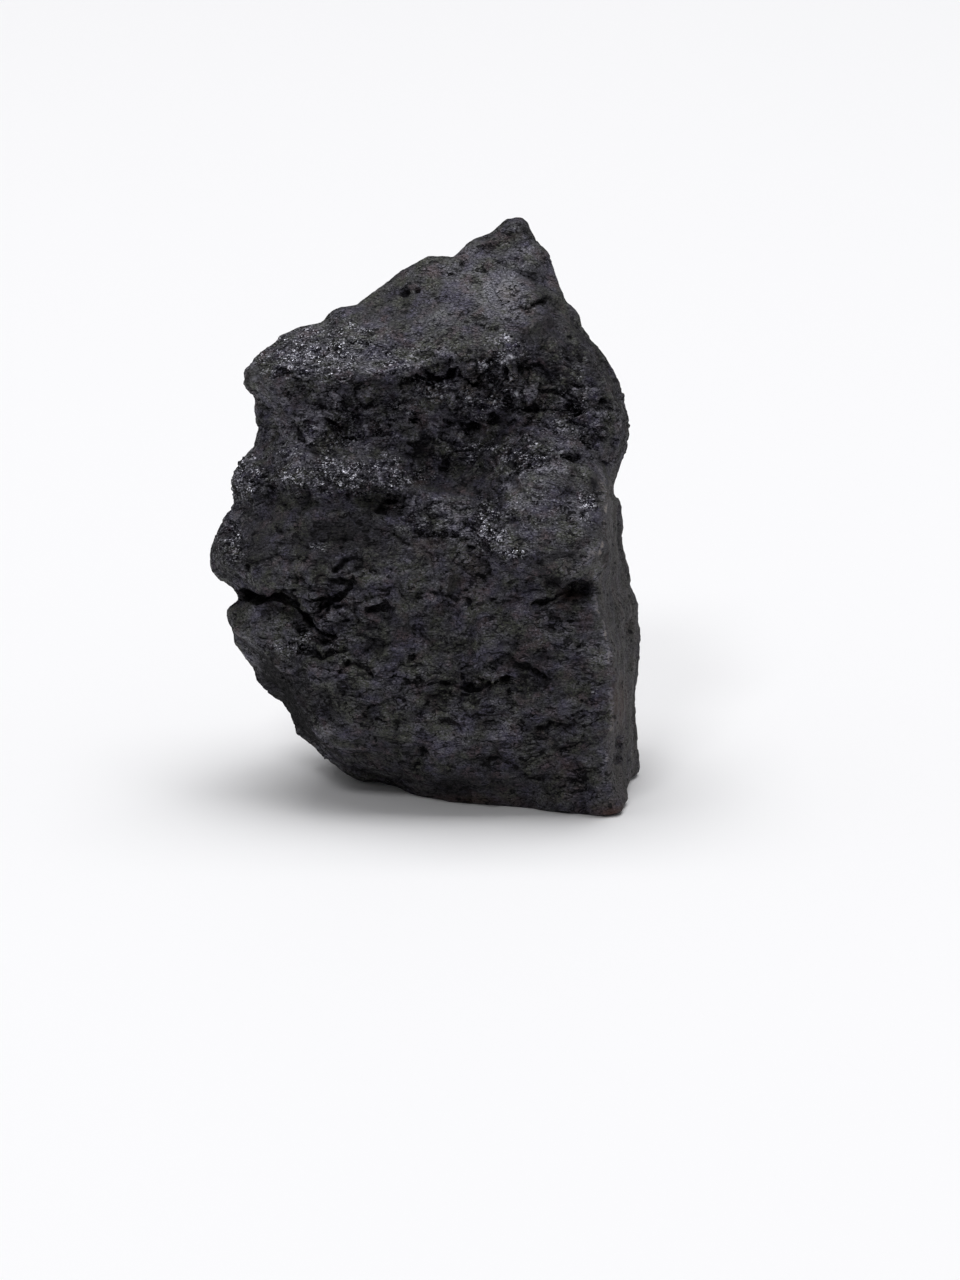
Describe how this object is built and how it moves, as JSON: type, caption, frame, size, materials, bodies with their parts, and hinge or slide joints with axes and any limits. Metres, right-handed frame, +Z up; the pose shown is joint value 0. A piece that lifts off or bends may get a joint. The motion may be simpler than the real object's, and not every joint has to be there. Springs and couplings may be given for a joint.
{
  "type": "hematite specimen",
  "caption": "Rough upright lump of dark grey hematite with a sloping roof face, a shaded recess, broken ledges, an open side crack and a flat foot.",
  "frame": {"origin": "middle of the bounding box, on the floor under the flat foot", "axes": "+Z up, -Y out of the broad face with the roof, recess and shoulder, +X towards the narrow right flank"},
  "size_m": [0.0506, 0.0444, 0.0661],
  "materials": {
    "hematite": "rough broken surface, dull metallic sheen"
  },
  "bodies": {
    "root": {"hematite_stone": "hematite"}
  },
  "joints": []
}
